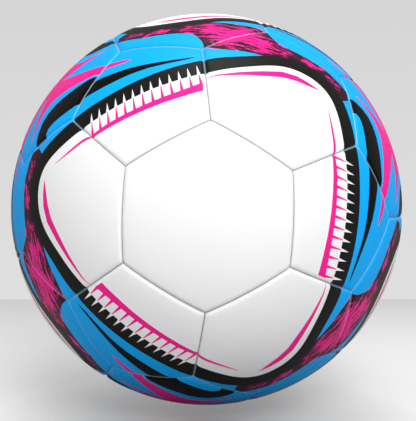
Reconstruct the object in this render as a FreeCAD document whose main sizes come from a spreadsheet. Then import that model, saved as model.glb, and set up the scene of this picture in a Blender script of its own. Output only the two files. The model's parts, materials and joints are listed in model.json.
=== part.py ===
"""Hand-stitched soccer ball: thirty-two padded panels sewn over an air bladder with a needle valve.

The panels are the faces of a truncated icosahedron, twelve pentagons and twenty hexagons, blown
up to a sphere. The ball's centre is the origin and +Z is up. The white hexagon that faces -Y has
its centre on the Y axis, and so has the hexagon with the valve, which faces +Y.
"""
import FreeCAD, Part

import os
from math import asin, atan, atan2, cos, degrees, pi, radians, sin, sqrt

from FreeCAD import Placement, Rotation, Vector

SIZES = (
    ("ball_diameter", 220.0, "over the panels"),
    ("layout_roll", 118.4, "turn of the first pentagon about the Y axis, from +X towards +Z"),
    ("skin_thickness", 0.8, "printed synthetic leather"),
    ("foam_thickness", 2.0, "foam bonded under the skin"),
    ("lining_thickness", 1.0, "cloth bonded under the foam"),
    ("edge_rounding", 1.4, "radius of the skin where it turns in at a seam"),
    ("seam_gap", 0.1, "between two panels' turned-in edges"),
    ("flap_length", 4.5, "turned-in edge below the lining"),
    ("stitch_inset", 2.2, "stitches below the lining"),
    ("stitch_end_margin", 4.8, "last stitch to the seam's end"),
    ("thread_diameter", 0.9, "waxed thread"),
    ("thread_clearance", 0.05, "between thread and flap, and around it in a hole"),
    ("bladder_clearance", 0.15, "between the bladder and what it swells against"),
    ("bladder_wall", 0.7, "butyl rubber"),
    ("valve_stem_diameter", 10.0, "rubber stem that fills the panel's hole"),
    ("valve_stem_clearance", 0.1, "around the stem in the panel"),
    ("valve_stem_depth", 16.0, "from the ball's surface to the stem's inner end"),
    ("valve_recess", 0.4, "stem's face below the ball's surface"),
    ("valve_flange_diameter", 26.0, "flange bonded inside the bladder"),
    ("valve_flange_thickness", 1.5, "flange bonded inside the bladder"),
    ("patch_diameter", 40.0, "rubber patch bonded on the bladder round the stem"),
    ("patch_thickness", 1.0, "rubber patch bonded on the bladder round the stem"),
    ("ring_diameter", 32.0, "cloth ring that backs the panel's hole"),
    ("ring_thickness", 0.6, "cloth ring that backs the panel's hole"),
    ("core_diameter", 6.0, "soft plug that seals round the needle"),
    ("core_length", 11.0, "soft plug that seals round the needle"),
    ("core_bead_diameter", 7.6, "bead that locks the plug in the stem"),
    ("core_bead_length", 1.6, "bead that locks the plug in the stem"),
    ("core_clearance", 0.05, "around the plug in the stem"),
    ("needle_bore_diameter", 2.4, "bore for the pump's needle"),
    ("needle_funnel_diameter", 4.2, "lead-in at the mouth of the bore"),
    ("needle_funnel_depth", 1.2, "lead-in at the mouth of the bore"),
    ("air_way_diameter", 3.0, "hole in the stem's floor under the plug"),
)
STITCHES = 7
PENTAGON = 5
HEXAGON = 6

# In a truncated icosahedron with edges of 1, centre to corner, and the angle that an edge spans
CORNER_DISTANCE = sqrt(58 + 18 * sqrt(5)) / 4
SEAM_ANGLE = 2 * degrees(asin(0.5 / CORNER_DISTANCE))

# Radii from the ball's centre, from the outside in, as expressions on the sheet
BALL = "(Sizes.ball_diameter / 2)"
OUTSIDE = f"(1.1 * {BALL})"
WELL_INSIDE = f"(0.3 * {BALL})"
FOAM_TOP = f"({BALL} - Sizes.skin_thickness)"
LINING_TOP = f"({FOAM_TOP} - Sizes.foam_thickness)"
LINING_FACE = f"({LINING_TOP} - Sizes.lining_thickness)"
STITCH_LINE = f"({LINING_FACE} - Sizes.stitch_inset)"
STITCH_SWEEP = f"({SEAM_ANGLE} - 2 * Sizes.stitch_end_margin / {STITCH_LINE} * {180 / pi})"
FLAP_END = f"({LINING_FACE} - Sizes.flap_length)"
BLADDER_TOP = f"({LINING_FACE} - Sizes.bladder_clearance)"
BLADDER_DIP = f"({FLAP_END} - Sizes.bladder_clearance)"
RING_FACE = f"({LINING_FACE} - Sizes.ring_thickness)"
PATCH_FACE = f"({RING_FACE} - Sizes.patch_thickness)"
FLANGE_TOP = f"({PATCH_FACE} - Sizes.bladder_wall)"
FLANGE_FACE = f"({FLANGE_TOP} - Sizes.valve_flange_thickness)"
VALVE_FACE = f"({BALL} - Sizes.valve_recess)"

# Distances from the middle of a seam, outwards through one panel's turned-in edge
SKIN_SIDE = "(Sizes.seam_gap / 2)"
LINING_SIDE = f"({SKIN_SIDE} + Sizes.skin_thickness)"
THREAD_LINE = f"({LINING_SIDE} + Sizes.thread_clearance + Sizes.thread_diameter / 2)"
BLADDER_SIDE = f"({THREAD_LINE} + Sizes.thread_diameter / 2 + Sizes.bladder_clearance)"

STEM_RADIUS = "(Sizes.valve_stem_diameter / 2)"
STEM_HOLE_RADIUS = f"({STEM_RADIUS} + Sizes.valve_stem_clearance)"
NEEDLE_RADIUS = "(Sizes.needle_bore_diameter / 2)"
VALVE_TURN = Rotation(Vector(1, 0, 0), -90)

doc = FreeCAD.newDocument("soccer_ball")
sheet = doc.addObject("Spreadsheet::Sheet", "Sizes")


def sheet_value(expression):
    """The number that an expression on the sheet comes to."""
    return sheet.evalExpression(expression)


def fill_sheet():
    """Write each driving size to its own row, with its alias and a note."""
    for row, (alias, value, note) in enumerate(SIZES, start=1):
        sheet.set(f"A{row}", alias)
        sheet.set(f"B{row}", str(value))
        sheet.setAlias(f"B{row}", alias)
        sheet.set(f"C{row}", note)
    doc.recompute()


# ---------------------------------------------------------------- shapes bound to the sheet


def add(kind, name, **expressions):
    """A document object whose named properties follow expressions on the sheet."""
    item = doc.addObject(kind, name)
    for prop, expression in expressions.items():
        item.setExpression(prop, expression)
    return item


def sphere(name, radius):
    """A solid sphere about the ball's centre, its seam and poles away from the +Z side."""
    item = add("Part::Sphere", name, Radius=radius)
    item.Placement.Rotation = Rotation(Vector(0, 0, -1), Vector(), Vector(0, 1, 0), "ZXY")
    return item


def rod(name, radius, start, length):
    """A solid cylinder on the Z axis from the height start."""
    item = add("Part::Cylinder", name, Radius=radius, Height=length)
    item.setExpression(".Placement.Base.z", start)
    return item


def through(name, radius):
    """A solid cylinder on the Z axis from the ball's centre out past the panels."""
    return rod(name, radius, "0", OUTSIDE)


def pair(kind, name, base, tool):
    """A boolean of two shapes."""
    item = doc.addObject(kind, name)
    item.Base = base
    item.Tool = tool
    return item


def cut(name, base, tool):
    """What is left of base without tool."""
    return pair("Part::Cut", name, base, tool)


def common(name, base, tool):
    """What base and tool share."""
    return pair("Part::Common", name, base, tool)


def fuse(name, shapes):
    """Several shapes joined into one solid."""
    item = doc.addObject("Part::MultiFuse", name)
    item.Shapes = shapes
    return item


def group(name, shapes, placement=Placement()):
    """Shapes kept side by side as separate solids, moved together by placement."""
    item = doc.addObject("Part::Compound", name)
    item.Links = shapes
    item.Placement = placement
    return item


# ---------------------------------------------------------------- the layout of panels and seams


def spread(sides):
    """Radius of a panel's corners at a height of 1 above the ball's centre."""
    corner = 0.5 / sin(pi / sides)
    return corner / sqrt(CORNER_DISTANCE ** 2 - corner ** 2)


def tilt(sides):
    """Angle in radians between a panel's axis and the plane of each of its seams."""
    return atan(spread(sides) * cos(pi / sides))


def icosahedron_corners():
    """Directions of an icosahedron's twelve corners."""
    golden = (1 + sqrt(5)) / 2
    corners = []
    for short in (-1, 1):
        for long in (-golden, golden):
            corners.append(Vector(0, short, long).normalize())
            corners.append(Vector(short, long, 0).normalize())
            corners.append(Vector(long, 0, short).normalize())
    return corners


def touching(first, second):
    """Whether two of the icosahedron's corners share an edge."""
    return 0.4 < first.dot(second) < 0.5


def icosahedron_faces(corners):
    """The twenty triples of corners that touch each other."""
    faces = []
    for i, a in enumerate(corners):
        for j, b in enumerate(corners[:i]):
            for c in corners[:j]:
                if touching(a, b) and touching(b, c) and touching(a, c):
                    faces.append((a, b, c))
    return faces


def turned_to_front(corners):
    """The corners turned so that a face looks along -Y with its first corner at layout_roll."""
    face = icosahedron_faces(corners)[0]
    middle = face[0] + face[1] + face[2]
    found = Rotation(face[0], Vector(), middle, "ZXY")
    wanted = Rotation(Vector(1, 0, 0), Vector(), Vector(0, -1, 0), "ZXY")
    roll = Rotation(Vector(0, -1, 0), sheet.layout_roll)
    turn = roll * wanted * found.inverted()
    return [turn.multVec(corner) for corner in corners]


def polar(direction):
    """Angle from -Y, and turn about it from +X towards +Z, in degrees from 0 to 360."""
    off_axis = degrees(atan2(sqrt(direction.x ** 2 + direction.z ** 2), -direction.y))
    around = degrees(atan2(direction.z, direction.x)) % 360
    return round(off_axis, 3), round(around, 3)


def panel_turns(sides, corners):
    """For each panel of that many sides, the turn from a master on +Z, nearest the front first."""
    aims = []
    if sides == PENTAGON:
        for corner in corners:
            beside = next(other for other in corners if touching(corner, other))
            aims.append((corner, beside))
    else:
        for a, b, c in icosahedron_faces(corners):
            aims.append(((a + b + c).normalize(), a * 2 + b))
    aims.sort(key=lambda aim: polar(aim[0]))
    return [Rotation(first_corner, Vector(), middle, "ZXY") for middle, first_corner in aims]


def seam_turns(sides, corners):
    """Turns that lay a seam master, its middle on +Z and its run along X, on each seam.

    The pentagons' seams run round each corner of the icosahedron, and the seams between two
    hexagons along its edges.
    """
    turns = []
    if sides == PENTAGON:
        for corner in corners:
            for a, b, c in icosahedron_faces(corners):
                others = [other for other in (a, b, c) if other != corner]
                if len(others) == 2:
                    middle = corner * 4 + others[0] + others[1]
                    turns.append(Rotation(others[0] - others[1], Vector(), middle, "ZXY"))
    else:
        for i, a in enumerate(corners):
            for b in corners[:i]:
                if touching(a, b):
                    turns.append(Rotation(a - b, Vector(), a + b, "ZXY"))
    return turns


def print_of(direction, white_middles):
    """Which of the four printed designs a hexagon has, from its place beside the white ones."""
    nearest = max(direction.dot(white) for white in white_middles)
    if nearest > 0.99:
        return "white_hexagon_panel"
    return "corner_hexagon_panel" if nearest > 0.5 else "swirl_hexagon_panel"


# ---------------------------------------------------------------- one panel of each shape


def wedge(name, sides, inset):
    """A solid from near the ball's centre out through one panel, its sides moved in by inset."""
    tip = f"({inset} / {sin(tilt(sides))})"
    ends = []
    for end, height in (("_low", WELL_INSIDE), ("_high", OUTSIDE)):
        ring = add("Part::RegularPolygon", name + end, Circumradius=f"{spread(sides)} * ({height} - {tip})")
        ring.Polygon = sides
        ring.setExpression(".Placement.Base.z", height)
        ends.append(ring)
    loft = doc.addObject("Part::Loft", name)
    loft.Sections = ends
    loft.Solid = True
    loft.Ruled = True
    return loft


def rounded(name, block, top):
    """The block with its rim at the radius top, and the corners below the rim, rounded."""
    doc.recompute()
    radius = sheet.edge_rounding
    edges = []
    for number, edge in enumerate(block.Shape.Edges, start=1):
        ends = [vertex.Point.Length for vertex in edge.Vertexes]
        if max(ends) > top - 0.001:
            edges.append((number, radius, radius))
    item = doc.addObject("Part::Fillet", name)
    item.Base = block
    item.Edges = edges
    return item


def stitch_rods(prefix):
    """Rods for one seam's stitch holes, the seam's middle on +Z and its run along X."""
    radius = "Sizes.thread_diameter / 2 + Sizes.thread_clearance"
    reach = f"(2 * {LINING_SIDE})"
    rods = []
    for number in range(STITCHES):
        angle = f"({number / (STITCHES - 1) - 0.5} * {STITCH_SWEEP})"
        item = add("Part::Cylinder", f"{prefix}_{number + 1}", Radius=radius, Height=f"2 * {reach}")
        item.Placement.Rotation = Rotation(Vector(1, 0, 0), -90)
        item.setExpression(".Placement.Base.x", f"{STITCH_LINE} * sin({angle})")
        item.setExpression(".Placement.Base.y", f"-{reach}")
        item.setExpression(".Placement.Base.z", f"{STITCH_LINE} * cos({angle})")
        rods.append(item)
    return rods


def stitch_holes(prefix, sides):
    """The holes for every stitch round one panel."""
    one_seam = group(prefix + "_one_seam", stitch_rods(prefix + "_hole"))
    seams = []
    for number in range(sides):
        around = Rotation(Vector(0, 0, 1), (number + 0.5) * 360 / sides)
        lean = Rotation(Vector(0, 1, 0), degrees(tilt(sides)))
        across = Rotation(Vector(0, 0, 1), 90)
        turn = Placement(Vector(), around * lean * across)
        seams.append(group(f"{prefix}_seam_{number + 1}", [one_seam], turn))
    return group(prefix + "_holes", seams)


def panel_layers(prefix, sides, flap_end):
    """The skin, foam and lining of one panel, with its middle on +Z."""
    holes = stitch_holes(prefix, sides)
    outline = wedge(prefix + "_outline", sides, SKIN_SIDE)
    block = common(prefix + "_block", sphere(prefix + "_ball", BALL), outline)
    soft_block = rounded(prefix + "_soft_block", block, sheet.ball_diameter / 2)
    inside = wedge(prefix + "_inside", sides, LINING_SIDE)
    filling = common(prefix + "_filling", sphere(prefix + "_foam_top", FOAM_TOP), inside)
    skin_pan = cut(prefix + "_skin_pan", cut(prefix + "_skin_bowl", soft_block, filling), flap_end)
    skin = cut(prefix + "_skin", skin_pan, holes)

    lining_ball = sphere(prefix + "_lining_top", LINING_TOP)
    foam = cut(prefix + "_foam", filling, lining_ball)
    backing = common(prefix + "_backing", lining_ball, inside)
    lining = cut(prefix + "_lining", backing, sphere(prefix + "_lining_face", LINING_FACE))
    return skin, foam, lining


def thread_path():
    """A running stitch along one seam: through a hole, along the flap, back through the next."""
    stitch_line = sheet_value(STITCH_LINE)
    thread_line = sheet_value(THREAD_LINE)
    sweep = sheet_value(STITCH_SWEEP)
    points = []
    side = -1
    for number in range(STITCHES):
        angle = radians((number / (STITCHES - 1) - 0.5) * sweep)
        place = Vector(sin(angle), 0, cos(angle)) * stitch_line
        points.append(place + Vector(0, side * thread_line, 0))
        side = -side
        points.append(place + Vector(0, side * thread_line, 0))
    path = doc.addObject("Part::Polygon", "thread_path")
    path.Nodes = points
    return path


def seam_thread():
    """The thread of one seam, round in section."""
    path = thread_path()
    section = add("Part::Circle", "thread_section", Radius="Sizes.thread_diameter / 2")
    section.Placement = Placement(path.Nodes[0], Rotation(Vector(1, 0, 0), -90))
    doc.recompute()
    thread = doc.addObject("Part::Sweep", "seam_thread")
    thread.Sections = [section]
    thread.Spine = (path, [f"Edge{number}" for number in range(1, len(path.Shape.Edges) + 1)])
    thread.Solid = True
    thread.Frenet = False
    thread.Transition = "Right corner"
    return thread


# ---------------------------------------------------------------- bladder and valve


def swollen(prefix, inset, top, dip, corners):
    """A ball of the radius dip with a pad of the radius top swollen into every panel."""
    shapes = [sphere(prefix + "_dip", dip)]
    top_ball = sphere(prefix + "_top", top)
    for sides in (PENTAGON, HEXAGON):
        pad = common(f"{prefix}_pad_{sides}", top_ball, wedge(f"{prefix}_wedge_{sides}", sides, inset))
        for number, turn in enumerate(panel_turns(sides, corners), start=1):
            shapes.append(group(f"{prefix}_pad_{sides}_{number}", [pad], Placement(Vector(), turn)))
    return fuse(prefix, shapes)


def outside(name, radius, floor):
    """A plug on the valve's axis, of that radius, from the sphere floor out past the panels."""
    column = through(name + "_column", radius)
    return at_valve(name, cut(name + "_plug", column, sphere(name + "_floor", floor)))


def at_valve(name, shape):
    """The shape turned from the Z axis to the valve's axis, +Y."""
    return group(name, [shape], Placement(Vector(), VALVE_TURN))


def bladder(corners):
    """The hollow rubber bladder, stepped in under the valve's patch and pierced by its stem."""
    patch_room = "(Sizes.patch_diameter / 2 + Sizes.bladder_clearance)"
    skin = cut(
        "bladder_skin",
        swollen("bladder_outside", BLADDER_SIDE, BLADDER_TOP, BLADDER_DIP, corners),
        outside("patch_seat", patch_room, PATCH_FACE),
    )
    air = cut(
        "bladder_air",
        swollen(
            "bladder_inside",
            f"({BLADDER_SIDE} + Sizes.bladder_wall)",
            f"({BLADDER_TOP} - Sizes.bladder_wall)",
            f"({BLADDER_DIP} - Sizes.bladder_wall)",
            corners,
        ),
        outside("patch_seat_inside", f"({patch_room} + Sizes.bladder_wall)", FLANGE_TOP),
    )
    shell = cut("bladder_shell", skin, air)
    stem_hole = at_valve("bladder_stem_hole", through("bladder_hole_rod", STEM_RADIUS))
    return cut("bladder_with_hole", shell, stem_hole)


def disc(name, outer, hole, top, face):
    """A washer on the Z axis that follows the ball, between the spheres top and face."""
    full = common(name + "_full", sphere(name + "_ball", top), through(name + "_rim", outer))
    shell = cut(name + "_shell", full, sphere(name + "_face", face))
    return cut(name, shell, through(name + "_hole", hole))


def valve_parts():
    """The valve's ring, patch, body and core on the Z axis."""
    ring = disc("ring", "Sizes.ring_diameter / 2", STEM_HOLE_RADIUS, LINING_FACE, RING_FACE)
    patch = disc("patch", "Sizes.patch_diameter / 2", STEM_RADIUS, RING_FACE, PATCH_FACE)

    start = f"({BALL} - Sizes.valve_stem_depth)"
    column = rod("stem_column", STEM_RADIUS, start, "Sizes.valve_stem_depth")
    stem = common("stem", column, sphere("stem_face", VALVE_FACE))
    flange_rim = through("flange_rim", "Sizes.valve_flange_diameter / 2")
    flange_full = common("flange_full", sphere("flange_top", FLANGE_TOP), flange_rim)
    flange = cut("flange", flange_full, sphere("flange_face", FLANGE_FACE))

    core_start = f"({VALVE_FACE} - Sizes.core_length)"
    bead_start = f"({core_start} + Sizes.core_length / 2 - Sizes.core_bead_length / 2)"
    room = "Sizes.core_clearance"
    to_outside = f"{OUTSIDE} - {core_start}"
    core_room = rod("core_room", f"Sizes.core_diameter / 2 + {room}", core_start, to_outside)
    bead_room = rod(
        "bead_room",
        f"Sizes.core_bead_diameter / 2 + {room}",
        f"{bead_start} - {room}",
        f"Sizes.core_bead_length + 2 * {room}",
    )
    air_way = through("air_way", "Sizes.air_way_diameter / 2")
    rooms = fuse("core_rooms", [core_room, bead_room, air_way])
    body = cut("valve_rubber", fuse("stem_and_flange", [stem, flange]), rooms)

    plug = rod("core_plug", "Sizes.core_diameter / 2", core_start, to_outside)
    bead = rod("core_bead", "Sizes.core_bead_diameter / 2", bead_start, "Sizes.core_bead_length")
    solid_core = common("solid_core", fuse("core_and_bead", [plug, bead]), sphere("core_face", VALVE_FACE))
    needle_bore = through("needle_bore", NEEDLE_RADIUS)
    funnel = add(
        "Part::Cone",
        "needle_funnel",
        Radius1=NEEDLE_RADIUS,
        Radius2="Sizes.needle_funnel_diameter / 2",
        Height="Sizes.needle_funnel_depth",
    )
    funnel.setExpression(".Placement.Base.z", f"{VALVE_FACE} - Sizes.needle_funnel_depth")
    core = cut("core", solid_core, fuse("needle_way", [needle_bore, funnel]))
    return ring, patch, body, core


# ---------------------------------------------------------------- the ball


def build_ball():
    """Make every sub-part and return it under its node's name."""
    corners = turned_to_front(icosahedron_corners())
    flap_end = sphere("flap_end", FLAP_END)
    valve_hole = at_valve("valve_hole", through("valve_hole_rod", STEM_HOLE_RADIUS))

    nodes = {}
    threads = seam_thread()
    for sides, shape in ((PENTAGON, "pentagon"), (HEXAGON, "hexagon")):
        layers = panel_layers(shape, sides, flap_end)
        turns = panel_turns(sides, corners)
        names = panel_names(sides, turns)
        placed_layers = []
        for layer, part in zip(("skin", "foam", "lining"), layers):
            placed = []
            for number, turn in enumerate(turns, start=1):
                piece = group(f"{shape}_{layer}_{number}", [part], Placement(Vector(), turn))
                if sides == HEXAGON and number == len(turns):
                    piece = cut(f"valve_{layer}", piece, valve_hole)
                placed.append(piece)
            placed_layers.append(placed)
        nodes.update(zip(names, placed_layers[0]))
        nodes[shape + "_foams"] = group(shape + "_foams", placed_layers[1])
        nodes[shape + "_linings"] = group(shape + "_linings", placed_layers[2])
        seams = [
            group(f"{shape}_seam_thread_{number}", [threads], Placement(Vector(), turn))
            for number, turn in enumerate(seam_turns(sides, corners), start=1)
        ]
        nodes[shape + "_seam_threads"] = group(shape + "_seam_threads", seams)

    nodes["bladder"] = bladder(corners)
    for name, part in zip(("valve_backing_ring", "valve_patch", "valve_body", "valve_core"), valve_parts()):
        nodes[name] = at_valve(name, part)
    return nodes


def panel_names(sides, turns):
    """A node name for each panel: its printed design, its shape and its number."""
    middles = [turn.multVec(Vector(0, 0, 1)) for turn in turns]
    if sides == PENTAGON:
        return [f"comb_pentagon_panel_{number:02d}" for number in range(1, len(turns) + 1)]
    whites = [middle for middle in middles if is_white(middle)]
    names = []
    counts = {}
    for middle in middles:
        kind = print_of(middle, whites)
        counts[kind] = counts.get(kind, 0) + 1
        names.append(f"{kind}_{counts[kind]:02d}")
    return names


def is_white(middle):
    """Whether a hexagon is one of the four white ones, which sit like a tetrahedron's corners."""
    off_axis, around = polar(middle)
    if off_axis < 1:
        return True
    turn_from_pentagon = (around - sheet.layout_roll) % 120
    return 105 < off_axis < 115 and 60 < turn_from_pentagon < 90


def check_document():
    """Stop if any object failed to recompute."""
    doc.recompute()
    for item in doc.Objects:
        if "Invalid" in item.State or "Error" in item.State:
            raise RuntimeError(f"{item.Name} failed: {item.State}")


def export(nodes):
    """Label each sub-part, check its shape and write it to parts/."""
    os.makedirs("parts", exist_ok=True)
    for name, item in nodes.items():
        item.Label = name
        if item.Shape.isNull() or not item.Shape.isValid():
            raise RuntimeError(f"{name} has no valid shape")
    for name, item in nodes.items():
        item.Shape.exportStep(f"parts/{name}.step")
        print(name, len(item.Shape.Solids), round(item.Shape.Volume, 1))


fill_sheet()
nodes = build_ball()
check_document()
export(nodes)
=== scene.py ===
"""Looks of a hand-stitched soccer ball: thirty-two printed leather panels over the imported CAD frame.

Each panel's cover is a fine shell with a soft edge that sinks into the seam. The print is laid out
once, round the white hexagon that faces -Y, in degrees on the ball, and the twelve rotations of a
tetrahedron carry it over the rest. Directions are unit vectors in the row frame.
"""
import json
from itertools import permutations
from math import acos, asin, atan2, cos, degrees, pi, radians, sin

import bpy
import numpy as np
from mathutils import Matrix, Vector


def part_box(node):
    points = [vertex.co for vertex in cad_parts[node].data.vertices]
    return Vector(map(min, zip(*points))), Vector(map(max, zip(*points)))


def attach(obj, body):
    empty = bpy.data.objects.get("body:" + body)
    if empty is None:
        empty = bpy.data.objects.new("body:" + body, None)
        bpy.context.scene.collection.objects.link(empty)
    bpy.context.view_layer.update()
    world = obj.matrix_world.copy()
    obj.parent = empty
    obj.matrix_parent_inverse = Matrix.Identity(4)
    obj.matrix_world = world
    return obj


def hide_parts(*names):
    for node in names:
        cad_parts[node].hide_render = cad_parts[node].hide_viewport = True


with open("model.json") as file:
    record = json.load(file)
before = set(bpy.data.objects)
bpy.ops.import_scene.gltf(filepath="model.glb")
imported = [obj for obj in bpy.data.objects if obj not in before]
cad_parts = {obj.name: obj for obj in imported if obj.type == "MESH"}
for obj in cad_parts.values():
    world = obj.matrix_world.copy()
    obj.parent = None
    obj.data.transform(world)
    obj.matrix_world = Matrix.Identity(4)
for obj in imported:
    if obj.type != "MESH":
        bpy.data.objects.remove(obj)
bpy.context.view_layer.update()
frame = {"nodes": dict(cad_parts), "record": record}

MM = 0.001
RADIUS = max(v.co.length for v in frame["nodes"]["white_hexagon_panel_01"].data.vertices)
ROLL = 118.4  # turn of the first pentagon about the Y axis, as in the frame
PENTAGON = 5
HEXAGON = 6
SAME = 0.001  # directions and rotations closer than this are one
ROTATIONS = 12  # of a tetrahedron

# Covers, in millimetres
SKIN = 0.8
SEAM_HALF_GAP = 0.05
EDGE_WIDTH = 2.4
EDGE_DROP = 1.3
CROWN_DROP = 0.3
CROWN_WIDTH = 3.0
FLAP_FRONT_DEPTHS = (2.4, 3.6, 5.0)
FLAP_BACK_DEPTHS = (5.0, 3.2, 2.0)
BACK_STEPS = (1.6, 2.4, 3.2, 4.0)
BACK_RINGS = 6
STITCHES = 7
STITCH_MARGIN = 4.8
PUCKER_DROP = 0.1
PUCKER_WIDTH = 1.6
MESH_STEP = 0.5
SIDE_STEPS = 90
EDGE_STEPS = (2.1, 1.7, 1.35, 1.05, 0.8, 0.55, 0.35, 0.2, 0.1)
VALVE_HOLE = 5.1
HOLE_EDGE = 0.5
HOLE_DROP = 0.3
HOLE_STEPS = (0, 0.05, 0.12, 0.25)
EDGE_STEEPNESS = 0.998  # below 1, so that an edge never quite turns upright
HOLE_STEEPNESS = 0.99

# Camera: millimetres for the lens, metres from the ball's middle, shares of the picture's height
SENSOR = 36.0
LENS = 68.834
LENS_SHIFT = (0.00323, -0.00299)
CAMERA_DISTANCE = 0.46574
CAMERA_AZIMUTH = radians(-0.33)
CAMERA_ELEVATION = radians(2.02)

# Floor, wall and light, in metres and watts
FLOOR_FRONT = -1.6
FLOOR_BACK = 0.39
STAGE_WIDTH = 3.0
FLOOR_PALE = -0.1  # from here to the back edge the floor's greys run, by share of the way
FLOOR_GREYS = ((0, 0.45), (0.5, 0.42), (0.9, 0.34), (1, 0.325))
FLOOR_LIFT = 0.9  # glow that only the camera sees
# A painted shadow on the floor round the foot of the ball: its middle, where it is darkest, where it
# ends, how it fades and its grey
PAINTED_SHADOW_MIDDLE = (0.0, -0.055, -RADIUS)  # middle of the darker floor round the foot of the ball
PAINTED_SHADOW_CORE = 0.01
PAINTED_SHADOW_REACH = 0.12
PAINTED_SHADOW_FALL = 0.8
PAINTED_SHADOW_GREY = (0.2, 0.2, 0.2, 1)
LAMPS = (
    ("key", (0.5, -1.5, 1.4), 1.4, 40),
    ("top", (0.1, -0.2, 1.9), 1.2, 13),
    ("fill", (-1.3, -1.3, 0.5), 1.2, 3.5),
)
WORLD_LIGHT = 0.36
WALL_GREYS = (-0.1, 0.22, 0.735, 0.665)  # from and to this height of a view's direction, these greys


# ---------------------------------------------------------------- layout of the panels

def direction(polar, turn):
    """The direction polar degrees from -Y, turned from the first pentagon's side."""
    t, a = radians(polar), radians(turn + ROLL)
    return np.array((sin(t) * cos(a), -cos(t), sin(t) * sin(a)))


def unit(v):
    return np.asarray(v, float) / np.linalg.norm(v)


def angle(a, b):
    return degrees(acos(max(-1.0, min(1.0, float(np.dot(a, b))))))


def turn_about(axis, turn):
    """The rotation about an axis, by a turn in degrees."""
    x, y, z = axis
    cross = np.array(((0, -z, y), (z, 0, -x), (-y, x, 0)))
    return np.eye(3) + sin(radians(turn)) * cross + (1 - cos(radians(turn))) * cross @ cross


def print_turns(windows):
    """The twelve rotations that carry the print onto itself."""
    front = turn_about(windows[0], 120)
    side = turn_about(windows[1], 120)
    turns = [np.eye(3)]
    for done in turns:
        for step in (front, side):
            made = step @ done
            if len(turns) < ROTATIONS and all(np.abs(made - t).max() > SAME for t in turns):
                turns.append(made)
    return turns


PENTAGONS = [
    direction(polar, turn + 120 * k)
    for polar, turn in ((37.377, 0), (79.188, 60), (100.812, 0), (142.623, 60))
    for k in range(3)
]
NEXT = angle(PENTAGONS[0], PENTAGONS[1]) + 1
CORNERS = [
    unit(2 * a + b) for a, b in permutations(PENTAGONS, 2) if angle(a, b) < NEXT
]
WINDOWS = [direction(0, 0)] + [direction(109.471, 82.239 + 120 * k) for k in range(3)]
TURNS = print_turns(WINDOWS)
SWIRL = direction(70.529, 22.239)
BRUSH_MIDDLE = direction(54.736, -37.761)
MIDDLES = {
    "white_hexagon": WINDOWS[0],
    "swirl_hexagon": SWIRL,
    "corner_hexagon": direction(41.81, 60),
    "comb_pentagon": PENTAGONS[0],
}


def panel_corners(middle, sides):
    """A panel's corners, counterclockwise seen from outside."""
    near = sorted(CORNERS, key=lambda c: -float(np.dot(c, middle)))[:sides]
    side = unit(near[0] - middle * np.dot(near[0], middle))
    other = np.cross(middle, side)
    return sorted(near, key=lambda c: atan2(np.dot(c, other), np.dot(c, side)))


# ---------------------------------------------------------------- the print, in degrees

BAND_INSIDE = (
    (-25, 36.17), (-20, 36.4), (-15, 36.6), (-10, 36.57), (-5, 36.4), (0, 36.07), (5, 35.5),
    (10, 34.67), (15, 33.73), (18.3, 32.9), (21.7, 32.1), (25, 31), (-28.8, 35.6), (-34.2, 34.4),
    (-37.2, 32.3), (-39.5, 29.6), (-41.1, 26.5), (-42.2, 20.4), (-41.1, 12.7), (-39.6, 5.4),
)
BAND_OUTSIDE = (
    (-25, 40.9), (-20, 41.33), (-15, 41.5), (-10, 41.4), (-5, 41.17), (0, 40.83), (5, 40.27),
    (10, 39.5), (15, 38.5), (18.3, 37.7), (21.7, 36.8), (25, 35.8), (-31.1, 40), (-34.9, 39),
    (-37.2, 38.1), (-39.9, 36.2), (-42.6, 33.5), (-44.5, 30.4), (-45.7, 26.9), (-46.3, 19.6),
    (-44.9, 11.5), (-43.8, 6.2),
)
STRIP = (
    (-19, 32.2), (-17, 32.17), (-11.7, 32.0), (-6.7, 31.67), (-1.7, 31.17), (3.3, 30.5),
    (8.3, 29.6), (14.2, 28.55), (15.3, 30.9), (13, 31.0), (8.3, 31.5), (3.3, 32.17),
    (-1.7, 32.73), (-6.7, 33.07), (-11.7, 33.33), (-16.3, 33.07), (-19, 33.1),
)
THIN_LINE = (
    (-13, 32.75, 0.9), (-17, 32.95, 0.9), (-20, 33.1, 0.8), (-25, 32.8, 0.6),
    (-28.5, 32.55, 0.35), (-32, 32.5, 0.1),
)
LEAF = (
    (16.5, 31.7, 0.15), (19.9, 30.96, 0.45), (26.1, 28.65, 1.1), (31.1, 26.5, 1.7),
    (36.6, 24.1, 2.1), (39.9, 21.5, 2.0), (42.2, 18.85, 1.4), (44.5, 15.9, 0.2),
)
SWOOSH_ON_PENTAGON = (
    (18.67, 39.5), (15, 40.67), (10, 42.67), (5, 44.83), (0, 46.83), (-5, 48.33), (-8.3, 49.27),
    (-10.3, 49.67), (-14, 52), (-22, 47), (-15, 46), (-10, 45.43), (-5, 44.83), (0, 44.17),
    (5, 43.07), (10, 41.5), (15, 40),
)
SWOOSH_ON_HEXAGON = (
    (-5, 51.2), (-10, 51.8), (-11.7, 52.3), (-18.3, 52.7), (-25.3, 52.8), (-29.4, 52.0),
    (-32.4, 50.6), (-34.6, 48.3), (-36.2, 45.9), (-37.2, 43.4), (-37.4, 40), (-33.9, 41.5),
    (-31.9, 43.1), (-31.5, 44.2), (-30.2, 45.5), (-27.4, 46.0), (-23.4, 45.9), (-18, 45.6),
    (-13, 45),
)
ARM_ON_PENTAGON = (
    (2.33, 49.67), (0, 51.17), (-5, 53.83), (-6.7, 55), (-10.8, 56.9), (-14.6, 59.2),
    (-25, 56.17), (-20, 55.33), (-15, 54.33), (-10, 53.33), (-5, 51.67), (0, 50),
)
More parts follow.
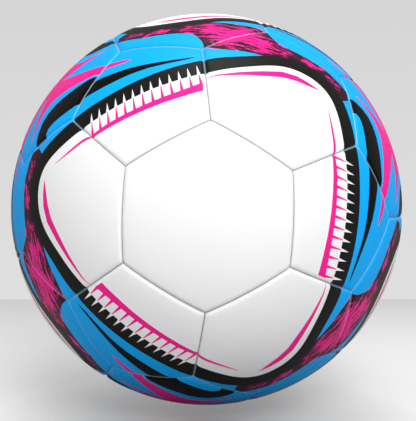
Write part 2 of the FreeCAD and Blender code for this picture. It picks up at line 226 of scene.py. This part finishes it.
# Round the swirl's middle, with the window below: one of three arms and its tail
ARM = (
    (10.49, 27.47), (8.75, 22.5), (6.9, 16.25), (5, 11.25), (3.1, 7.5), (-1, 1), (5, -3.75),
    (9, -5.5), (13, -7.3), (16.9, -8.75), (13.75, -6.25), (10, -2.5), (8.75, 1.25), (9, 5.6),
    (10, 11.9), (10.5, 18.1), (10.75, 24.4),
)
BRUSH_HALF = (
    (8, 58.3), (11.85, 56.35), (15.7, 54.2), (18.8, 52.3), (20.7, 50.8), (21.85, 49.6),
    (22.15, 48.1), (22.4, 45.8), (22.3, 44.2), (21.65, 42.1), (24.15, 40), (27.2, 38.1),
    (30.3, 36.15), (33.4, 33.85), (34.9, 32.4), (38.8, 30.6), (41.6, 28.7), (44.4, 26.5),
    (47.8, 22.8), (50.0, 19.0), (50.8, 15.8), (51.0, 12.7),
    (50.6, 10.5), (54.0, 9.8), (56.5, 12.3),
)
COMB_LEAN = 0.295
COMB_PITCH = 2.58
COMB_FIRST = -14.5
COMB_COUNT = 13
COMB_TIPS = (
    (-20, 39.3), (-14.5, 39.33), (-9.4, 39.27), (-4.1, 39.17), (0.9, 38.83), (6.2, 38.27),
    (11.3, 37.4), (16.5, 36.77), (22, 35.9),
)
STRIP_TOP = (
    (-20, 33.0), (-16.3, 33.07), (-11.7, 33.33), (-6.7, 33.07), (-1.7, 32.73), (3.3, 32.17),
    (8.3, 31.5), (13, 31.0), (18, 30.4),
)
WAVES = 7
FAR = -9.0  # degrees inside, for a point that an outline is nowhere near
REACH = 2.0  # degrees beyond an outline that its distances are worked out for


def flat(points):
    """Degrees from -Y, to the right and up with the first pentagon above, of unit vectors."""
    polar = np.degrees(np.arccos(np.clip(-points[:, 1], -1, 1)))
    turn = np.arctan2(points[:, 2], points[:, 0]) - radians(ROLL)
    return np.stack((-polar * np.sin(turn), polar * np.cos(turn)), axis=1)


def lifted(x, y):
    """The direction of a place on the flat layout."""
    return direction(np.hypot(x, y), degrees(atan2(-x, y)))


def ribbon(line):
    """The outline of a line that has a width at each of its points."""
    points = np.array(line, float)[:, :2]
    along = np.gradient(points, axis=0)
    across = np.stack((-along[:, 1], along[:, 0]), axis=1)
    across *= np.array(line)[:, 2:3] / 2 / np.linalg.norm(across, axis=1, keepdims=True)
    return np.concatenate((points + across, (points - across)[::-1]))


def inside(points, outline):
    """How far inside an outline each point is, negative outside."""
    outline = np.array(outline, float)
    after = np.roll(outline, -1, axis=0)
    best = np.full(len(points), 1e9)
    odd = np.zeros(len(points), bool)
    for start, end in zip(outline, after):
        step = end - start
        share = np.clip((points - start) @ step / max(step @ step, 1e-12), 0, 1)
        gap = points - start - share[:, None] * step
        best = np.minimum(best, np.hypot(gap[:, 0], gap[:, 1]))
        if step[1]:
            crosses = (start[1] > points[:, 1]) != (end[1] > points[:, 1])
            odd ^= crosses & (points[:, 0] < start[0] + (points[:, 1] - start[1]) * step[0] / step[1])
    return np.where(odd, best, -best)


def everywhere(points, outline):
    """The same for an outline that the print repeats twelve times."""
    outline = np.array(outline, float)
    low, high = outline.min(0) - REACH, outline.max(0) + REACH
    best = np.full(len(points), FAR)
    for turn in TURNS:
        place = flat(points @ turn)
        near = np.all((place > low) & (place < high), axis=1)
        if near.any():
            best[near] = np.maximum(best[near], inside(place[near], outline))
    return best


def loop(control):
    """A smooth closed curve with three equal parts, as waves that give degrees out by turn."""
    points = np.array(control, float)
    turn = np.arctan2(-points[:, 0], points[:, 1])
    out = np.hypot(points[:, 0], points[:, 1])
    return np.linalg.lstsq(wave_terms(turn), out, rcond=None)[0]


def wave_terms(turn):
    """The waves of a curve with three equal parts, at each turn in radians."""
    parts = [np.ones_like(turn)]
    for k in range(1, WAVES + 1):
        parts += [np.cos(3 * k * turn), np.sin(3 * k * turn)]
    return np.stack(parts, axis=1)


def band_fields(points):
    """How far inside the dark band's inner and outer edge each point is, for the nearest window."""
    nearest = np.argmax([points @ w for w in WINDOWS], axis=0)
    inner, outer = np.full(len(points), FAR), np.full(len(points), FAR)
    for k in range(4):
        turn = next(t for t in TURNS if np.abs(t @ WINDOWS[0] - WINDOWS[k]).max() < SAME)
        mine = nearest == k
        if mine.any():
            place = flat(points[mine] @ turn)
            terms = wave_terms(np.arctan2(-place[:, 0], place[:, 1]))
            out = np.hypot(place[:, 0], place[:, 1])
            inner[mine] = terms @ loop(BAND_INSIDE) - out
            outer[mine] = terms @ loop(BAND_OUTSIDE) - out
    return inner, outer


def brush_frame(points):
    """Degrees across and along the nearest brushed patch, from the middle between two windows."""
    pairs = [(WINDOWS[i], WINDOWS[j]) for i in range(4) for j in range(i)]
    middles = np.array([unit(a + b) for a, b in pairs])
    nearest = np.argmax(points @ middles.T, axis=1)
    first = np.array([unit(a - b) for a, b in pairs])[nearest]
    long = np.array([unit(np.cross(a, b)) for a, b in pairs])[nearest]
    across = np.degrees(np.arcsin(np.clip((points * first).sum(1), -1, 1)))
    along = np.degrees(np.arctan2((points * long).sum(1), (points * middles[nearest]).sum(1)))
    return across, along


def comb_fields(points):
    """Teeth by number, and how far up from the strip and down from the tips each point is."""
    place = flat(points)
    x, y = place[:, 0], place[:, 1]
    terms = wave_terms(np.arctan2(-x, y))
    edge = y * (terms @ loop(BAND_INSIDE)) / np.hypot(x, y)
    tip_x, tip_y = np.array(COMB_TIPS).T
    foot = x
    for _ in range(3):
        foot = x + COMB_LEAN * (np.interp(foot, tip_x, tip_y) - y)
    tip = np.interp(foot, tip_x, tip_y)
    strip_x, strip_y = np.array(STRIP_TOP).T
    strip = np.interp(x, strip_x, strip_y)
    tooth = (foot - COMB_FIRST) / COMB_PITCH
    return tooth, (tip - y) / (tip - edge), (y - strip) / (edge - strip)


def swirl_place(points):
    """Degrees right and up from the swirl's middle, with the window below."""
    up = unit(SWIRL * np.dot(SWIRL, WINDOWS[0]) - WINDOWS[0])
    right = np.cross(up, SWIRL)
    out = np.degrees(np.arccos(np.clip(points @ SWIRL, -1, 1)))
    turn = np.arctan2(points @ up, points @ right)
    return np.stack((out * np.cos(turn), out * np.sin(turn)), axis=1)


def star(points):
    """How far inside the swirl's three arms each point is."""
    place = swirl_place(points)
    best = np.full(len(points), FAR)
    for k in range(3):
        c, s = cos(2 * pi * k / 3), sin(2 * pi * k / 3)
        best = np.maximum(best, inside(place @ np.array(((c, -s), (s, c))), ARM))
    return best


def print_fields(kind, points):
    """Every value that the printed leather's shader reads, at each point."""
    fields = {}
    fields["band_inner"], fields["band_outer"] = band_fields(points)
    if kind == "white_hexagon":
        return fields
    if kind == "comb_pentagon":
        fields["pink"] = np.maximum(inside(flat(points), STRIP), everywhere(points, ARM_ON_PENTAGON))
        fields["black"] = everywhere(points, SWOOSH_ON_PENTAGON)
        fields["tooth"], fields["tooth_down"], fields["tooth_up"] = comb_fields(points)
    if kind == "corner_hexagon":
        two_fold = 2 * np.outer(BRUSH_MIDDLE, BRUSH_MIDDLE) - np.eye(3)
        other_half = flat(np.array([two_fold @ lifted(x, y) for x, y in BRUSH_HALF]))
        fields["brush"] = everywhere(points, np.concatenate((BRUSH_HALF, other_half)))
        fields["brush_across"], fields["brush_along"] = brush_frame(points)
        leaf, thin_line = ribbon(LEAF), ribbon(THIN_LINE)
        fields["pink"] = np.maximum(everywhere(points, leaf), everywhere(points, thin_line))
    if kind == "swirl_hexagon":
        fields["pink"] = star(points)
        fields["black"] = everywhere(points, SWOOSH_ON_HEXAGON)
    return fields


# ---------------------------------------------------------------- covers

def edge_drop(gap):
    """How far the cover sinks at this many millimetres from a seam."""
    share = np.clip((EDGE_WIDTH - gap) / EDGE_WIDTH, 0, 1)
    rounding = EDGE_DROP * (1 - np.sqrt(1 - share ** 2 * EDGE_STEEPNESS))
    return rounding + CROWN_DROP * np.exp(-gap / CROWN_WIDTH)


def panel_surface(directions, corners, hole):
    """Height of a cover's face, in metres, and its distance from the nearest seam, in millimetres."""
    drops = np.zeros(len(directions))
    nearest = np.full(len(directions), 1e9)
    for start, end in zip(corners, corners[1:] + corners[:1]):
        inward = unit(np.cross(start, end))
        gap = RADIUS / MM * np.arcsin(np.clip(directions @ inward, -1, 1))
        gap = np.maximum(gap, 0)
        along = np.cross(inward, start)
        run = RADIUS / MM * np.arctan2(directions @ along, directions @ start)
        length = RADIUS / MM * radians(angle(start, end))
        pitch = (length - 2 * STITCH_MARGIN) / (STITCHES - 1)
        wave = 0.5 + 0.5 * np.cos(2 * pi * (run - STITCH_MARGIN) / pitch)
        wave *= (run > STITCH_MARGIN - pitch) & (run < length - STITCH_MARGIN + pitch)
        drops += (edge_drop(gap) + PUCKER_DROP * wave * np.exp(-gap / PUCKER_WIDTH)) ** 2
        nearest = np.minimum(nearest, gap)
    drop = np.sqrt(drops)
    if hole:
        middle = unit(np.sum(corners, axis=0))
        out = RADIUS / MM * np.arccos(np.clip(directions @ middle, -1, 1)) - hole
        share = np.clip((HOLE_EDGE - out) / HOLE_EDGE, 0, 1)
        drop = drop + HOLE_DROP * (1 - np.sqrt(1 - share ** 2 * HOLE_STEEPNESS))
    return RADIUS - drop * MM, nearest


def ring_of(corners, share, hole):
    """Directions round a panel, at a share of the way from its middle, or its hole, to its seams."""
    heart = np.mean(corners, axis=0)
    middle = unit(heart)
    steps = np.arange(SIDE_STEPS)[:, None] / SIDE_STEPS
    outer = np.concatenate([
        start * (1 - steps) + end * steps for start, end in zip(corners, corners[1:] + corners[:1])
    ])
    spoke = outer - heart
    spoke /= np.linalg.norm(spoke, axis=1, keepdims=True)
    tilt = hole * MM / RADIUS
    inner = (middle * cos(tilt) + spoke * sin(tilt)) * np.linalg.norm(heart)
    made = inner * (1 - share) + outer * share
    return made / np.linalg.norm(made, axis=1, keepdims=True)


def cover_mesh(name, kind, sides, hole=0.0):
    """A panel's cover as a closed shell: face, turned-in edge and back."""
    middle = MIDDLES[kind]
    corners = panel_corners(middle, sides)
    inward = unit(np.cross(corners[0], corners[1]))
    width = RADIUS / MM * asin(float(np.dot(middle, inward))) - hole
    gaps = list(np.arange(width, EDGE_WIDTH, -MESH_STEP))
    if hole:
        gaps = [width - step for step in HOLE_STEPS] + gaps[1:]
    gaps += list(EDGE_STEPS) + [SEAM_HALF_GAP]
    rings = [ring_of(corners, 1 - gap / width, hole) for gap in gaps]
    heights = [panel_surface(ring, corners, hole)[0] for ring in rings]
    for depth in FLAP_FRONT_DEPTHS:
        rings.append(rings[len(gaps) - 1])
        heights.append(np.full(len(rings[0]), RADIUS - depth * MM))
    back = ring_of(corners, 1 - (SEAM_HALF_GAP + SKIN) / width, hole)
    for depth in FLAP_BACK_DEPTHS:
        rings.append(back)
        heights.append(np.full(len(rings[0]), RADIUS - depth * MM))
    for gap in list(BACK_STEPS) + list(np.linspace(BACK_STEPS[-1] + 3, width, BACK_RINGS)):
        ring = ring_of(corners, 1 - gap / width, hole)
        rings.append(ring)
        heights.append(panel_surface(ring, corners, 0)[0] - SKIN * MM)
    if not hole:
        rings, heights = rings[1:-1], heights[1:-1]
    directions = np.concatenate(rings)
    height = np.concatenate(heights)
    around, count = len(rings[0]), len(rings)
    k = np.arange(around)
    faces = []
    for r in range(count if hole else count - 1):
        low, high = r * around, (r + 1) % count * around
        after = (k + 1) % around
        faces += np.stack((low + k, high + k, high + after, low + after), axis=1).tolist()
    if not hole:
        directions = np.concatenate((directions, [middle, middle]))
        top, bottom = RADIUS, RADIUS - SKIN * MM
        height = np.concatenate((height, [top, bottom]))
        first, last = len(directions) - 2, (count - 1) * around
        for i in range(around):
            after = (i + 1) % around
            faces.append((first, i, after))
            faces.append((first + 1, last + after, last + i))
    mesh = bpy.data.meshes.new(name)
    mesh.from_pydata((directions * height[:, None]).tolist(), [], faces)
    mesh.polygons.foreach_set("use_smooth", np.ones(len(mesh.polygons), bool))
    fields = print_fields(kind, directions)
    fields["seam"] = panel_surface(directions, corners, 0)[1]
    for field, values in fields.items():
        mesh.attributes.new(field, "FLOAT", "POINT").data.foreach_set("value", values.astype(np.float32))
    mesh.update()
    return mesh


# ---------------------------------------------------------------- materials

class Shader:
    """A material's nodes, written as sums."""

    def __init__(self, name):
        self.material = bpy.data.materials.new(name)
        self.material.use_nodes = True
        self.nodes = self.material.node_tree.nodes
        self.links = self.material.node_tree.links
        self.surface = self.nodes["Principled BSDF"]
        self.places = self.nodes.new("ShaderNodeTexCoord").outputs["Object"]

    def put(self, socket, value):
        """Links a socket to a socket, or sets it to a plain value."""
        if isinstance(value, bpy.types.NodeSocket):
            self.links.new(value, socket)
        else:
            socket.default_value = value

    def math(self, kind, a, b=0.0, clamp=False):
        """One sum on two values or sockets."""
        node = self.nodes.new("ShaderNodeMath")
        node.operation = kind
        node.use_clamp = clamp
        self.put(node.inputs[0], a)
        self.put(node.inputs[1], b)
        return node.outputs[0]

    def field(self, name):
        """A value that the mesh holds at each point."""
        node = self.nodes.new("ShaderNodeAttribute")
        node.attribute_name = name
        return node.outputs["Fac"]

    def mask(self, value, softness=0.05):
        """One where the value is above zero, with an edge this many degrees soft."""
        return self.math("ADD", self.math("MULTIPLY", value, 1 / softness), 0.5, clamp=True)

    def mix(self, share, a, b):
        node = self.nodes.new("ShaderNodeMix")
        node.data_type = "RGBA"
        self.put(node.inputs["Factor"], share)
        self.put(node.inputs[6], a)
        self.put(node.inputs[7], b)
        return node.outputs[2]

    def noise(self, scale, detail=2.0, roughness=0.5, places=None):
        node = self.nodes.new("ShaderNodeTexNoise")
        self.put(node.inputs["Vector"], places or self.places)
        node.inputs["Scale"].default_value = scale
        node.inputs["Detail"].default_value = detail
        node.inputs["Roughness"].default_value = roughness
        return node.outputs["Fac"]

    def cells(self, scale):
        node = self.nodes.new("ShaderNodeTexVoronoi")
        node.feature = "SMOOTH_F1"
        self.put(node.inputs["Vector"], self.places)
        node.inputs["Scale"].default_value = scale
        return node.outputs["Distance"]

    def vector(self, x, y, z):
        node = self.nodes.new("ShaderNodeCombineXYZ")
        for socket, value in zip(node.inputs, (x, y, z)):
            self.put(socket, value)
        return node.outputs[0]

    def spread(self, value, low, high):
        """A value from 0 to 1 as one from low to high."""
        return self.math("ADD", self.math("MULTIPLY", value, high - low), low)

    def bump(self, height, strength, distance):
        node = self.nodes.new("ShaderNodeBump")
        node.inputs["Strength"].default_value = strength
        node.inputs["Distance"].default_value = distance
        self.put(node.inputs["Height"], height)
        self.links.new(node.outputs[0], self.surface.inputs["Normal"])

    def finish(self, colour, roughness, specular=0.5):
        self.put(self.surface.inputs["Base Color"], colour)
        self.put(self.surface.inputs["Roughness"], roughness)
        self.surface.inputs["Specular IOR Level"].default_value = specular
        return self.material


WHITE = (0.86, 0.86, 0.87, 1)
BLUE = (0.0, 0.385, 0.9, 1)
PINK = (0.88, 0.012, 0.27, 1)
CHARCOAL = (0.006, 0.006, 0.0055, 1)
BLACK = (0.0, 0.0, 0.0, 1)
# Painted along the seams: a pale highlight outside the white window, grey shade inside it
PAINTED_SEAM_HIGHLIGHT = (0.5, 0.7, 0.82, 1)
PAINTED_SEAM_SHADE = (0.4, 0.4, 0.41, 1)
STREAK = (0.03, 0.004, 0.016, 1)

# The brushed streaks, in degrees. Noise above a level is a streak.
STREAK_DENSITY = (0.22, 1.05)  # along and across a patch, per degree
STREAK_LEVELS = (0.4, 0.53)  # at the patch's side and in its middle
STREAK_SHARPNESS = 16.0
STREAK_SIDE = 6.25  # from the side to where the middle's level holds
WOBBLE_DENSITY = 0.25
WOBBLE = 2.0
TAIL_START = 26.0  # from the patch's middle, along it
TAIL_DARKENING = 0.02  # of the level, per degree
BRUSH_SOFTNESS = 0.12

# The comb's white spikes and pink slivers, with half widths in degrees
SPIKE_HALF = 0.45
SLIVER_HALF = 0.42
SLIVER_TAPER = 0.31
SLIVER_ROOT = 0.06  # share of a sliver's length that lies on the strip

# Leather: rims of painted highlight and painted shade along the seams in millimetres, grains and patches
# of gloss to the metre
RIM_WIDTH = 0.6
RIM_SHARPNESS = 1.3
GRAIN_CELLS = 1500
GRAIN_FOLDS = 400
GRAIN_FOLD_WEIGHT = 1.5
GRAIN_STRENGTH = 0.12
GRAIN_HEIGHT = 0.0002
GLOSS_PATCHES = 60
GLOSS = (0.34, 0.5)
LEATHER_SPECULAR = 0.12

# Foam, cloth, thread and rubber, as shares of a colour
GRAIN_PALE = 1.15
GRAIN_DARK = 0.8
GRAIN_GLOSS = 0.08
WEAVE_DARK = 0.75


def brushed(s):
    """Dark dry-brush streaks that run along the patch, closer together at its sides."""
    across, along = s.field("brush_across"), s.field("brush_along")
    wobble = s.noise(WOBBLE_DENSITY, 2, places=s.vector(along, across, 0.0))
    bent = s.math("ADD", across, s.math("MULTIPLY", wobble, WOBBLE))
    drawn_out = s.math("MULTIPLY", along, STREAK_DENSITY[0])
    packed = s.math("MULTIPLY", bent, STREAK_DENSITY[1])
    long_streaks = s.noise(1.0, 4, 0.65, s.vector(drawn_out, packed, 3.0))
    depth = s.math("DIVIDE", s.field("brush"), STREAK_SIDE, clamp=True)
    tail = s.math("SUBTRACT", s.math("ABSOLUTE", along), TAIL_START)
    tail = s.math("MULTIPLY", tail, TAIL_DARKENING, clamp=True)
    level = s.math("SUBTRACT", s.spread(depth, *STREAK_LEVELS), tail)
    return s.math("MULTIPLY", s.math("SUBTRACT", long_streaks, level), STREAK_SHARPNESS, clamp=True)


def tooth_share(s):
    """Degrees from the middle line of the nearest tooth, and one where there are teeth."""
    tooth = s.field("tooth")
    near = s.math("ROUND", tooth)
    off = s.math("MULTIPLY", s.math("ABSOLUTE", s.math("SUBTRACT", tooth, near)), COMB_PITCH)
    first = s.math("GREATER_THAN", near, -0.5)
    there = s.math("MULTIPLY", first, s.math("LESS_THAN", near, COMB_COUNT - 0.5))
    return off, there


def printed_leather(kind):
    """Satin synthetic leather with this kind of panel's print."""
    s = Shader("printed_" + kind)
    window = s.mask(s.field("band_inner"))
    colour = WHITE
    if kind != "white_hexagon":
        colour = BLUE
        if kind == "corner_hexagon":
            patch = s.mix(brushed(s), PINK, STREAK)
            colour = s.mix(s.mask(s.field("brush"), BRUSH_SOFTNESS), BLUE, patch)
        else:
            colour = s.mix(s.mask(s.field("black")), colour, BLACK)
            beyond = s.mask(s.math("MULTIPLY", s.field("band_outer"), -1.0))
            colour = s.mix(s.math("MULTIPLY", s.mask(s.field("pink")), beyond), colour, PINK)
        colour = s.mix(s.mask(s.field("band_outer")), colour, CHARCOAL)
        colour = s.mix(window, colour, WHITE)
        if kind != "swirl_hexagon":
            colour = s.mix(s.math("MULTIPLY", s.mask(s.field("pink")), window), colour, PINK)
    if kind == "comb_pentagon":
        off, there = tooth_share(s)
        down, up = s.field("tooth_down"), s.field("tooth_up")
        spike = s.mask(s.math("SUBTRACT", s.math("MULTIPLY", down, SPIKE_HALF), off))
        spike = s.math("MULTIPLY", s.math("MULTIPLY", spike, there), s.math("SUBTRACT", 1.0, window))
        colour = s.mix(s.math("MULTIPLY", spike, s.mask(down)), colour, WHITE)
        half = s.math("SUBTRACT", SLIVER_HALF, s.math("MULTIPLY", up, SLIVER_TAPER))
        sliver = s.mask(s.math("SUBTRACT", half, off))
        above = s.mask(s.math("ADD", up, SLIVER_ROOT))
        sliver = s.math("MULTIPLY", s.math("MULTIPLY", sliver, there), above)
        colour = s.mix(s.math("MULTIPLY", sliver, window), colour, PINK)
    # A thin rim by each seam is painted light and shade: a pale highlight outside the white window, grey
    # painted shade inside it
    near = s.math("SUBTRACT", RIM_WIDTH, s.field("seam"))
    rim = s.math("MULTIPLY", near, RIM_SHARPNESS, clamp=True)
    colour = s.mix(rim, colour, s.mix(window, PAINTED_SEAM_HIGHLIGHT, PAINTED_SEAM_SHADE))
    folds = s.math("MULTIPLY", s.noise(GRAIN_FOLDS, 3), GRAIN_FOLD_WEIGHT)
    s.bump(s.math("ADD", s.cells(GRAIN_CELLS), folds), GRAIN_STRENGTH, GRAIN_HEIGHT)
    return s.finish(colour, s.spread(s.noise(GLOSS_PATCHES, 3), *GLOSS), LEATHER_SPECULAR)


def soft_material(name, colour, scale, roughness, depth):
    """Foam, cloth, thread or rubber: a fine grain in colour and height."""
    s = Shader(name)
    grain = s.noise(scale, 4, 0.6)
    pale = tuple(min(1.0, c * GRAIN_PALE) for c in colour) + (1,)
    dark = tuple(c * GRAIN_DARK for c in colour) + (1,)
    s.bump(s.math("ADD", grain, s.math("MULTIPLY", s.cells(scale), 0.5)), 0.5, depth * MM)
    gloss = s.spread(grain, roughness - GRAIN_GLOSS, roughness + GRAIN_GLOSS)
    return s.finish(s.mix(grain, dark, pale), gloss)


def woven(name, colour, pitch):
    """Plain cloth: threads over and under each other."""
    s = Shader(name)
    node = s.nodes.new("ShaderNodeSeparateXYZ")
    s.put(node.inputs[0], s.places)
    waves = [s.math("SINE", s.math("MULTIPLY", axis, 2 * pi / (pitch * MM))) for axis in node.outputs]
    weave = s.math("ADD", s.math("MULTIPLY", waves[0], waves[2]), s.math("MULTIPLY", waves[1], waves[0]))
    pale = tuple(colour) + (1,)
    dark = tuple(c * WEAVE_DARK for c in colour) + (1,)
    s.bump(weave, 0.5, 0.2 * MM)
    return s.finish(s.mix(s.spread(weave, 0.5, 0.8), dark, pale), 0.85, 0.2)


def slot_colour(slot):
    return tuple(next(m["base_color"] for m in frame["record"]["materials"] if m["slot"] == slot))


def dress(node, material):
    """Gives a CAD node that stays in view its material."""
    mesh = frame["nodes"][node].data
    mesh.materials.clear()
    mesh.materials.append(material)


# ---------------------------------------------------------------- the ball

VALVE_SIDE = (0, 1, 0)
CLOSE = 6.0  # degrees from a panel's middle that still mean that panel
SLOTS = {
    "white_hexagon": "cover_white", "swirl_hexagon": "cover_swirl",
    "corner_hexagon": "cover_corner", "comb_pentagon": "cover_comb",
}


def middle_of(node):
    """Roughly the direction of a panel's middle in the frame, from its box."""
    low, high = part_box(node)
    return unit(np.array((low + high) / 2))


def make_covers():
    for kind, slot in SLOTS.items():
        sides = PENTAGON if "pentagon" in kind else HEXAGON
        material = printed_leather(kind)
        plain = cover_mesh(kind + "_cover", kind, sides)
        plain.materials.append(material)
        for node in sorted(n for n in frame["nodes"] if n.startswith(kind)):
            towards = middle_of(node)
            turn = max(TURNS, key=lambda t: float(np.dot(t @ MIDDLES[kind], towards)))
            if angle(turn @ MIDDLES[kind], towards) > CLOSE:
                raise SystemExit(f"{node} isn't where the print's layout has it")
            mesh = plain
            if angle(turn @ MIDDLES[kind], VALVE_SIDE) < CLOSE:
                mesh = cover_mesh(kind + "_valve_cover", kind, sides, VALVE_HOLE)
                mesh.materials.append(material)
            cover = bpy.data.objects.new(node + "_cover", mesh)
            cover.matrix_world = Matrix(turn.tolist()).to_4x4()
            bpy.context.scene.collection.objects.link(cover)
            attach(cover, "root")
            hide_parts(node)


def dress_inside():
    foam = soft_material("closed_cell_foam", slot_colour("foam"), 2500, 0.85, 0.15)
    lining = woven("woven_lining", slot_colour("lining"), 0.8)
    thread = soft_material("waxed_thread", slot_colour("thread"), 3000, 0.5, 0.1)
    cloth = woven("backing_cloth", slot_colour("backing_cloth"), 0.9)
    rubber = soft_material("butyl_rubber", slot_colour("bladder"), 900, 0.5, 0.05)
    patch = soft_material("patch_rubber", slot_colour("bladder_patch"), 900, 0.5, 0.05)
    stem = soft_material("valve_rubber", slot_colour("valve_rubber"), 1200, 0.45, 0.04)
    core = soft_material("valve_core_rubber", slot_colour("valve_core_rubber"), 1200, 0.4, 0.03)
    for node, material in (
        ("pentagon_foams", foam), ("hexagon_foams", foam),
        ("pentagon_linings", lining), ("hexagon_linings", lining),
        ("pentagon_seam_threads", thread), ("hexagon_seam_threads", thread),
        ("bladder", rubber), ("valve_patch", patch), ("valve_backing_ring", cloth),
        ("valve_body", stem), ("valve_core", core),
    ):
        dress(node, material)


# ---------------------------------------------------------------- stage, light and camera

def plane(name, corners, material):
    mesh = bpy.data.meshes.new(name)
    mesh.from_pydata(corners, [], [(0, 1, 2, 3)])
    mesh.materials.append(material)
    made = bpy.data.objects.new(name, mesh)
    bpy.context.scene.collection.objects.link(made)
    return made


def floor_material(name):
    """A matt floor, darker towards the back, with a painted shadow round the foot of the ball."""
    s = Shader(name)
    split = s.nodes.new("ShaderNodeSeparateXYZ")
    s.put(split.inputs[0], s.places)
    back = s.math("SUBTRACT", split.outputs["Y"], FLOOR_PALE)
    share = s.math("DIVIDE", back, FLOOR_BACK - FLOOR_PALE, clamp=True)
    ramp = s.nodes.new("ShaderNodeValToRGB")
    s.put(ramp.inputs[0], share)
    while len(ramp.color_ramp.elements) < len(FLOOR_GREYS):
        ramp.color_ramp.elements.new(0.5)
    for element, (place, grey) in zip(ramp.color_ramp.elements, FLOOR_GREYS):
        element.position = place
        element.color = (grey, grey, grey, 1)
    out = s.nodes.new("ShaderNodeVectorMath")
    # Painted shadow: the floor's grey goes over to a dark grey near the foot of the ball
    out.operation = "DISTANCE"
    s.put(out.inputs[0], s.places)
    out.inputs[1].default_value = PAINTED_SHADOW_MIDDLE
    past = s.math("SUBTRACT", out.outputs["Value"], PAINTED_SHADOW_CORE)
    clear = s.math("DIVIDE", past, PAINTED_SHADOW_REACH - PAINTED_SHADOW_CORE, clamp=True)
    grey = s.mix(s.math("POWER", clear, PAINTED_SHADOW_FALL), PAINTED_SHADOW_GREY, ramp.outputs[0])
    seen = s.nodes.new("ShaderNodeLightPath").outputs["Is Camera Ray"]
    s.put(s.surface.inputs["Emission Color"], grey)
    s.put(s.surface.inputs["Emission Strength"], s.math("MULTIPLY", seen, FLOOR_LIFT))
    return s.finish(grey, 1.0, 0.0)


def make_stage():
    bottom = -RADIUS
    half = STAGE_WIDTH / 2
    corners = [
        (-half, FLOOR_FRONT, bottom), (half, FLOOR_FRONT, bottom),
        (half, FLOOR_BACK, bottom), (-half, FLOOR_BACK, bottom),
    ]
    floor = plane("floor", corners, floor_material("floor_grey"))


def area_light(name, place, size, power):
    data = bpy.data.lights.new(name, "AREA")
    data.shape = "DISK"
    data.size = size
    data.energy = power
    light = bpy.data.objects.new(name, data)
    light.location = place
    light.rotation_mode = "QUATERNION"
    light.rotation_quaternion = (-Vector(place)).to_track_quat("-Z", "Y")
    bpy.context.scene.collection.objects.link(light)


def make_lights():
    for name, place, size, power in LAMPS:
        area_light(name, place, size, power)
    world = bpy.data.worlds.new("studio")
    world.use_nodes = True
    nodes, links = world.node_tree.nodes, world.node_tree.links
    light = nodes["Background"]
    light.inputs["Color"].default_value = (1, 1, 1, 1)
    light.inputs["Strength"].default_value = WORLD_LIGHT
    wall = nodes.new("ShaderNodeBackground")
    split = nodes.new("ShaderNodeSeparateXYZ")
    height = nodes.new("ShaderNodeMapRange")
    for name, value in zip(("From Min", "From Max", "To Min", "To Max"), WALL_GREYS):
        height.inputs[name].default_value = value
    seen = nodes.new("ShaderNodeLightPath")
    both = nodes.new("ShaderNodeMixShader")
    links.new(nodes.new("ShaderNodeTexCoord").outputs["Generated"], split.inputs[0])
    links.new(split.outputs["Z"], height.inputs["Value"])
    links.new(height.outputs[0], wall.inputs["Color"])
    links.new(seen.outputs["Is Camera Ray"], both.inputs[0])
    links.new(light.outputs[0], both.inputs[1])
    links.new(wall.outputs[0], both.inputs[2])
    links.new(both.outputs[0], nodes["World Output"].inputs["Surface"])
    bpy.context.scene.world = world


def make_camera():
    data = bpy.data.cameras.new("camera")
    data.sensor_width = SENSOR
    data.lens = LENS
    data.shift_x, data.shift_y = LENS_SHIFT
    data.clip_start = 0.01
    camera = bpy.data.objects.new("camera", data)
    a, e = CAMERA_AZIMUTH, CAMERA_ELEVATION
    back = Vector((sin(a) * cos(e), -cos(a) * cos(e), sin(e)))
    camera.location = back * CAMERA_DISTANCE
    camera.rotation_mode = "QUATERNION"
    camera.rotation_quaternion = (-back).to_track_quat("-Z", "Y")
    bpy.context.scene.collection.objects.link(camera)
    bpy.context.scene.camera = camera


make_covers()
dress_inside()
make_stage()
make_lights()
make_camera()
bpy.context.scene.view_settings.view_transform = "Standard"
